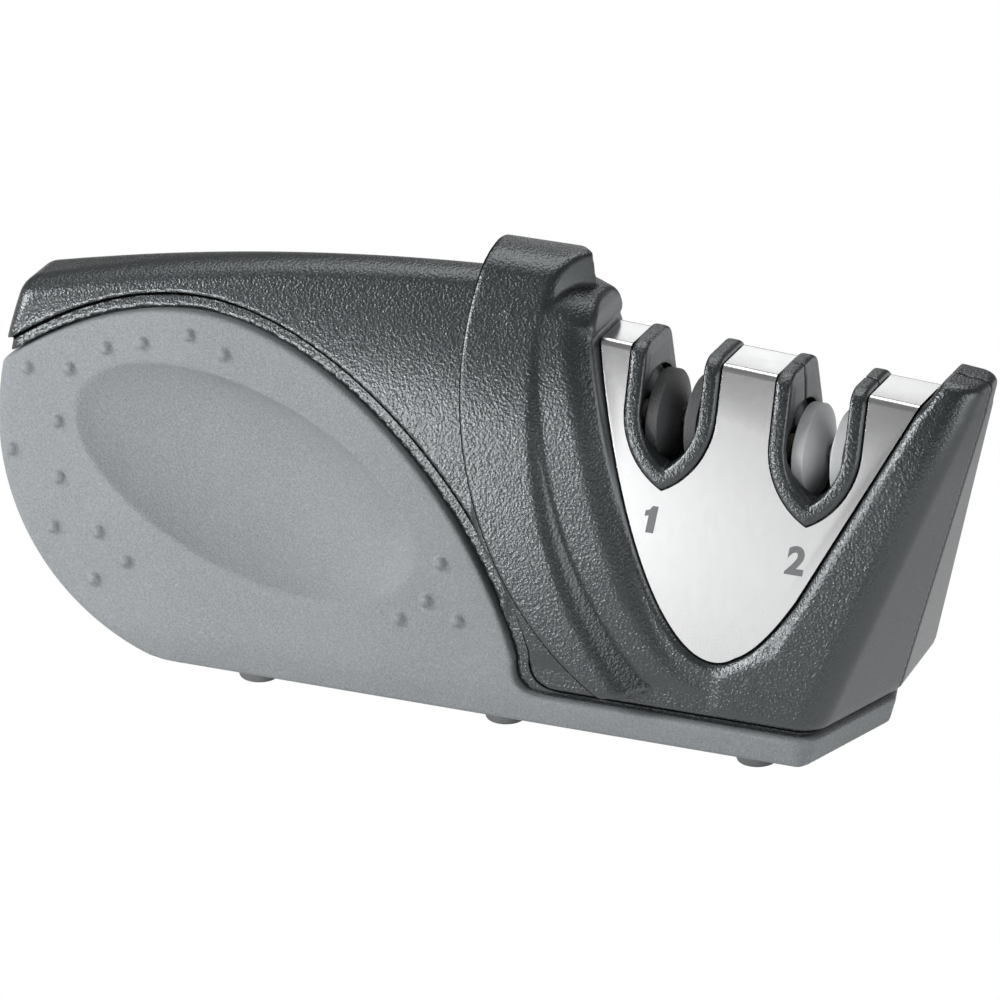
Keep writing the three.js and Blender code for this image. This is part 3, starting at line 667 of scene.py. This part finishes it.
def fold_profile(x, depth):
    """One side of the sheet at x, from the front foot over the saddle to the rear foot, so deep under it."""
    centre_z = saddle_top(x) - SADDLE_FOLD
    centre_y = half_width(centre_z) - SADDLE_FOLD * math.hypot(1, LEAN)
    arm = SADDLE_FOLD - depth
    side = [(half_width(PLATE_FOOT_Z) - depth * math.hypot(1, LEAN), PLATE_FOOT_Z)]
    for turn in np.linspace(math.atan(LEAN), math.pi / 2, FOLD_POINTS):
        side.append((centre_y + arm * math.cos(turn), centre_z + arm * math.sin(turn)))
    return [(-y, z) for y, z in side] + side[::-1]


def carried(name, near, far):
    """A closed solid between two rings of points."""
    count = len(near)
    faces = [list(range(count)), list(range(count, 2 * count))[::-1]]
    faces += [(j, (j + 1) % count, (j + 1) % count + count, j + count) for j in range(count)]
    return closed(name, near + far, faces, merge=True)


def prism(name, outline):
    """A side-view outline carried straight through along Y."""
    return carried(name, *([in_frame(x, y, z) for x, z in outline] for y in (-CUTTER_REACH, CUTTER_REACH)))


def shrunk(outline, inset):
    """An outline moved inwards; it runs anticlockwise."""
    rows = []
    for before, here, after in zip(outline[-1:] + outline[:-1], outline, outline[1:] + outline[:1]):
        a = Vector(here) - Vector(before)
        b = Vector(after) - Vector(here)
        normal = (a.normalized() + b.normalized()).normalized()
        rows.append((here[0] - normal.y * inset, here[1] + normal.x * inset))
    return rows


plate_rings = []
for x in PLATE_ENDS:
    section = fold_profile(x, PLATE_DEPTH) + fold_profile(x, PLATE_DEPTH + PLATE_SHEET)[::-1]
    plate_rings.append([in_frame(x, y, z) for y, z in section])
plate = carried("face_plate_skin", *plate_rings)
plate_clean = [p for j, p in enumerate(plate_outline) if math.dist(p, plate_outline[j - 1]) > SAME_POINT]
plate_cuts = [("INTERSECT", prism("plate_edge", shrunk(plate_clean, PLATE_GAP)))]
for i in range(2):
    plate_cuts.append(("DIFFERENCE", prism(f"plate_notch_{i}", slot_outline(i, RIM_WIDTH + PLATE_GAP))))
bpy.context.view_layer.objects.active = plate
for how, tool in plate_cuts:
    work = plate.modifiers.new("shape", "BOOLEAN")
    work.operation = how
    work.object = tool
    work.solver = "EXACT"
    with bpy.context.temp_override(object=plate, active_object=plate):
        bpy.ops.object.modifier_apply(modifier=work.name)
    bpy.data.objects.remove(tool)
plate.data.shade_smooth()
plate.data.set_sharp_from_angle(angle=math.radians(30))
rounded(plate, width=0.12, degrees=40)

plate_look, plate_at = material("brushed_steel", Metallic=1.0, Anisotropic=0.3)
plate_lines = plate_at.stretched(1, 1, 0.02).noise(5200, 3.0, 0.7)
plate_broad = plate_at.stretched(1, 1, 0.03).noise(700, 2.0, 0.5)
plate_tone = plate_lines * 0.7 + plate_broad * 0.3
feed(plate_look, "Base Color", plate_tone.between((0.55, 0.555, 0.56), (0.70, 0.70, 0.705)))
feed(plate_look, "Roughness", plate_lines * 0.1 + 0.16)
bump(plate_look, plate_lines, 0.000004, 0.5)
plate.data.materials.append(plate_look)
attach(plate, "housing")
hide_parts("face_plate")


# Stage numbers. A grey 1 and 2, printed on the front of the plate under their slots: the 1 as a drawn
# outline, the 2 as a letter form.

ONE = [(0.15, 0), (0.46, 0), (0.46, 1), (0.24, 1), (0.16, 0.86), (0, 0.8), (0, 0.6), (0.15, 0.63)]
ONE_HEIGHT = 0.0053
ONE_CENTRE = 0.25
TWO_SIZE = 0.0074
TWO_BOLDER = 0.0003
NUMBER_SLANT = 0.1
NUMBER_PLACES = ((47.6, 42.4), (78.1, 39.2))
PRINT_HALF = 0.00002
PRINT_RISE = 0.03

number_look, number_at = material("etched_grey", Roughness=0.6)
feed(number_look, "Base Color", number_at.noise(1800, 2.0).between((0.10, 0.105, 0.11), (0.16, 0.165, 0.17)))

one = bpy.data.curves.new("stage_number_1", "CURVE")
one.dimensions = "2D"
one.fill_mode = "BOTH"
one_line = one.splines.new("POLY")
one_line.points.add(len(ONE) - 1)
for point, (x, z) in zip(one_line.points, ONE):
    point.co = ((x - ONE_CENTRE + NUMBER_SLANT * z) * ONE_HEIGHT, z * ONE_HEIGHT, 0, 1)
one_line.use_cyclic_u = True

two = bpy.data.curves.new("stage_number_2", "FONT")
two.body = "2"
two.size = TWO_SIZE
two.shear = NUMBER_SLANT
two.offset = TWO_BOLDER
two.align_x = "CENTER"

for curve, (x, z) in zip((one, two), NUMBER_PLACES):
    curve.extrude = PRINT_HALF
    number = linked(curve.name, curve)
    out = half_width(z) - PLATE_DEPTH * math.hypot(1, LEAN) + PRINT_RISE
    upright = Matrix.Rotation(math.pi / 2 - math.atan(LEAN), 4, "X")
    number.matrix_world = Matrix.Translation(Vector(in_frame(x, -out, z))) @ upright
    curve.materials.append(number_look)
    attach(number, "housing")


# Grip tub. Soft-touch grey moulding that wraps the lower handle and runs on as the base strip under the
# head, with a thumb recess and raised grip dots on each side. Screws from below hold it to the housing.

TUB_BANDS = (3.4, 1.8)
TUB_LOW = (-94.5, -30, 1)
TUB_HIGH = (104, 30, 76)
DISH = (-37.3, 39.8)
DISH_TILT = -0.303
DISH_HALF = (38.6, 16.9)
DISH_BALL = 13.0
DISH_OUT = 6.5
DISH_CAP = 0.866
DISH_ROUND = 0.25
DOT_RADIUS = 1.3
DOT_SUNK = 0.15
DOT_JOIN = 0.2
DOT_ROOM = 3.5
DOTS_OFF_TOP = 4.6
DOTS_OFF_NOSE = 10
DOTS_OFF_FOOT = 6.2
NEAR_DOTS = (107, 137, 147, 158, 172, 187, 205, 219, 330, 338, 348)
LONE_DOT = 120
LONE_DOT_OUT = 2.6
FAR_DOTS = (163, 181, 200, 218, 338)
FAR_DOTS_OUT = 7.5


def dish_field(at):
    """A tilted ellipsoid that stands outside the flank and dips into it."""
    x, z = at.x - DISH[0], at.z - DISH[1]
    along = x * math.cos(DISH_TILT) + z * math.sin(DISH_TILT)
    across = z * math.cos(DISH_TILT) - x * math.sin(DISH_TILT)
    out = np.abs(at.y) - half_width(at.z) - DISH_OUT
    a, b, c = DISH_HALF[0] / DISH_CAP, DISH_HALF[1] / DISH_CAP, DISH_BALL
    reach = np.sqrt((along / a) ** 2 + (across / b) ** 2 + (out / c) ** 2)
    slope = np.sqrt((along / a ** 2) ** 2 + (across / b ** 2) ** 2 + (out / c ** 2) ** 2)
    return reach * (reach - 1) / np.maximum(slope, 1e-4)


def dot_place(degrees, extra):
    """A dot's place, in a direction from the middle of the recess, at a distance from its edge."""
    turn = math.radians(degrees)
    from_axis = turn - DISH_TILT
    edge = 1 / math.hypot(math.cos(from_axis) / DISH_HALF[0], math.sin(from_axis) / DISH_HALF[1])
    reach = DOTS_OFF_TOP if degrees < 180 else DOTS_OFF_NOSE if degrees < 270 else DOTS_OFF_FOOT
    far = edge + reach + extra
    return DISH[0] + far * math.cos(turn), DISH[1] + far * math.sin(turn)


def add_dots(field, at):
    places = [dot_place(d, 0) for d in NEAR_DOTS] + [dot_place(LONE_DOT, LONE_DOT_OUT)]
    places += [dot_place(d, FAR_DOTS_OUT) for d in FAR_DOTS]
    for side in (-1, 1):
        for x, z in places:
            centre = np.array((x, side * (half_width(z) - DOT_SUNK), z))
            low = np.floor((centre - DOT_ROOM - at.low) / at.step).astype(int)
            high = low + int(2 * DOT_ROOM / at.step) + 2
            part = tuple(slice(max(a, 0), b) for a, b in zip(low, high))
            dx, dy, dz = np.ix_(*(axis[p] - c for axis, p, c in zip(at.axes, part, centre)))
            dome = np.sqrt(dx ** 2 + dy ** 2 + dz ** 2) - DOT_RADIUS
            field[part] = join(field[part], dome, DOT_JOIN)
    return field


tub_at = Lattice(TUB_LOW, TUB_HIGH, STEP)
tub = meet(body_form(tub_at, FRONT_END_SLOPE), tub_at.outline(groove_outline(*TUB_BANDS)), EDGE_ROUND)
tub = cut(tub, dish_field(tub_at), DISH_ROUND)
grip = skin("grip_skin", add_dots(tub, tub_at), tub_at)

grip_look, grip_at = material("soft_touch_grey", IOR=1.45, Specular_IOR_Level=0.35)
grip_grain = grip_at.noise(3200, 2.0, 0.6) + grip_at.cells(2800) * 0.7
grip_tone = grip_grain * 0.9 + grip_at.noise(60, 3.0) * 0.2 - 0.3
feed(grip_look, "Base Color", grip_tone.between((0.12, 0.131, 0.138), (0.275, 0.290, 0.299)))
feed(grip_look, "Roughness", grip_grain * 0.12 + 0.42)
bump(grip_look, grip_grain, 0.00012, 0.9)
grip.data.materials.append(grip_look)
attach(grip, "housing")
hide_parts("grip_tub")


# Screws. Four zinc-plated steel screws with pan heads, driven from below through counterbores in the tub's
# floor to hold the housing halves. They keep their solids and get only a finish.

screw_look, screw_at = material("zinc_plate", Metallic=1.0)
screw_mottle = screw_at.noise(1500, 3.0)
feed(screw_look, "Base Color", screw_mottle.between((0.4, 0.4, 0.42), (0.62, 0.62, 0.64)))
feed(screw_look, "Roughness", screw_mottle * 0.25 + 0.25)
bump(screw_look, screw_mottle, 0.00002, 0.5)
dress("screw", screw_look)


# Feet. Six round pads of grey rubber in two rows under the base, each moulded with a peg that is pushed
# into a hole in the tub's floor.

FOOT_PROFILE = [(3.2, 0.0), (3.75, 0.2), (4.0, 0.6), (4.4, 2.7), (2.0, 2.7), (2.0, 5.1)]
FOOT_SIDES = 64

foot_look, foot_at = material("grey_rubber", Specular_IOR_Level=0.3)
foot_grain = foot_at.noise(2200, 3.0, 0.6)
feed(foot_look, "Base Color", foot_grain.between((0.13, 0.135, 0.14), (0.22, 0.225, 0.23)))
feed(foot_look, "Roughness", foot_grain * 0.2 + 0.6)
bump(foot_look, foot_grain, 0.00004, 0.6)
for k in range(1, 7):
    low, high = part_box(f"foot_{k}")
    centre = (low + high) / 2

    def on_floor(across, aside, up):
        return centre.x + across / 1000, centre.y + aside / 1000, up / 1000

    pad = turned(f"foot_{k}_form", FOOT_PROFILE, FOOT_SIDES, on_floor, capped=True)
    rounded(pad, width=0.15, degrees=25, harden=False)
    pad.data.materials.append(foot_look)
    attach(pad, "housing")
    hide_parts(f"foot_{k}")


# Studio. A pale floor that shows as white, soft lamps, of which the front ones lie where the leaning flank
# and the plate mirror them, and a long-lens camera.

FLOOR_REACH = 6
WORLD_STRENGTH = 0.22
CAMERA_AIM = Vector((0, 0, 0.0368))
CAMERA_AZIMUTH = math.radians(22.5)
CAMERA_ELEVATION = math.radians(23)
CAMERA_DISTANCE = 2.0
PICTURE_WIDTH = 0.19608
SENSOR = 36
LAMPS = {
    "top_softbox": ((-0.2, 0.3, 0.85), (0, 0, 0.05), (0.6, 0.4), 2.5),
    "left_key": ((-0.9, -0.4, 0.6), (0, 0, 0.04), (0.4, 0.4), 9.5),
    "front_panel": ((-0.085, -0.44, 0.10), (0.06, -0.017, 0.042), (0.15, 0.075), 0.038),
    "front_softbox": ((-0.16, -0.26, 0.096), (-0.035, -0.014, 0.053), (0.07, 0.05), 0.42),
    "right_strip": ((0.2, -0.56, 0.13), (0.02, -0.02, 0.05), (0.05, 0.2), 0.13),
    "right_fill": ((0.8, -0.35, 0.35), (0.05, 0, 0.04), (0.5, 0.5), 3),
    "rear_fill": ((0.75, 0.8, 0.25), (0, 0, 0.04), (0.8, 0.5), 2),
    "rear_panel": ((-0.068, 0.30, 0.214), (0.055, 0, 0.077), (0.15, 0.09), 0.06),
}

floor_mesh = bpy.data.meshes.new("floor")
floor_corners = [(x * FLOOR_REACH, y * FLOOR_REACH, 0) for x, y in ((-1, -1), (1, -1), (1, 1), (-1, 1))]
floor_mesh.from_pydata(floor_corners, [], [(0, 1, 2, 3)])
floor = linked("floor", floor_mesh)
floor_look, floor_at = material("white_floor", Base_Color=(0.8, 0.8, 0.8, 1), Roughness=0.8)
floor_tree = floor_look.node_tree
floor_rays = floor_tree.nodes.new("ShaderNodeLightPath").outputs
floor_seen = Sock(floor_tree, floor_rays["Is Camera Ray"])
for ray in ("Is Glossy Ray", "Is Transmission Ray"):
    floor_seen = floor_seen.math("MAXIMUM", Sock(floor_tree, floor_rays[ray]))
floor_white = floor_at.node("Emission", None, Color=(1, 1, 1, 1))
floor_mix = floor_at.node("MixShader", None, Fac=floor_seen)
floor_tree.links.new(floor_tree.nodes["Principled BSDF"].outputs[0], floor_mix.inputs[1])
floor_tree.links.new(floor_white.outputs[0], floor_mix.inputs[2])
floor_tree.links.new(floor_mix.outputs[0], floor_tree.nodes["Material Output"].inputs["Surface"])
floor_mesh.materials.append(floor_look)

world = bpy.data.worlds.new("studio")
bpy.context.scene.world = world
world.use_nodes = True
world.node_tree.nodes["Background"].inputs["Color"].default_value = (1, 1, 1, 1)
world.node_tree.nodes["Background"].inputs["Strength"].default_value = WORLD_STRENGTH

for name, (place, aim, size, watts) in LAMPS.items():
    light = bpy.data.lights.new(name, "AREA")
    light.shape = "RECTANGLE"
    light.size, light.size_y = size
    light.energy = watts
    lamp = linked(name, light)
    lamp.location = place
    lamp.rotation_euler = (Vector(aim) - Vector(place)).to_track_quat("-Z", "Y").to_euler()

camera = linked("camera", bpy.data.cameras.new("camera"))
level = math.cos(CAMERA_ELEVATION)
away = Vector((math.sin(CAMERA_AZIMUTH) * level, -math.cos(CAMERA_AZIMUTH) * level,
               math.sin(CAMERA_ELEVATION)))
camera.location = CAMERA_AIM + away * CAMERA_DISTANCE
camera.rotation_euler = (-away).to_track_quat("-Z", "Y").to_euler()
camera.data.sensor_width = SENSOR
camera.data.lens = SENSOR * CAMERA_DISTANCE / PICTURE_WIDTH
bpy.context.scene.camera = camera
bpy.context.scene.view_settings.view_transform = "Standard"
